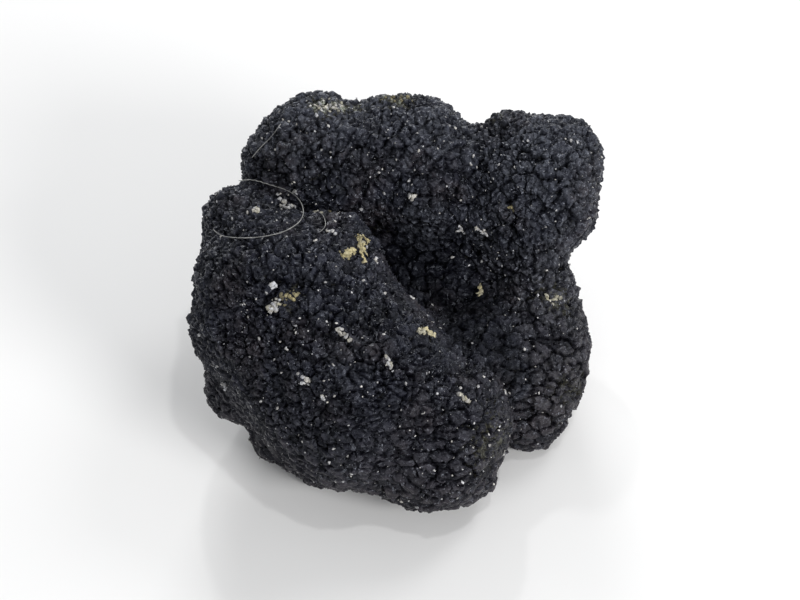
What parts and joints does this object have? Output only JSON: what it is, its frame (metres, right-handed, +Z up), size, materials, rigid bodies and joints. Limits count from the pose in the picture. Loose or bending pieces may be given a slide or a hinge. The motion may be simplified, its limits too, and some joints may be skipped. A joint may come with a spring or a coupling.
{
  "type": "black truffle",
  "caption": "Lumpy black truffle with rounded lobes, deep creases and a coat of low polygonal warts, lying on low points of its underside.",
  "frame": {"origin": "on the surface the truffle lies on, under the middle of its bounding box", "axes": "+Z up, its shortest extent; -Y is the front, where the long front lobe lies; +X is the right seen from the front"},
  "size_m": [0.0916, 0.0898, 0.0607],
  "materials": {
    "peridium": "near-black warty skin, half matt, with a bluish-grey bloom on the crowns and dark furrows",
    "soil": "pale dry sandy soil caught in furrows",
    "fibre": "thin pale plant fibre"
  },
  "bodies": {
    "root": {"truffle": "peridium"}
  },
  "joints": []
}
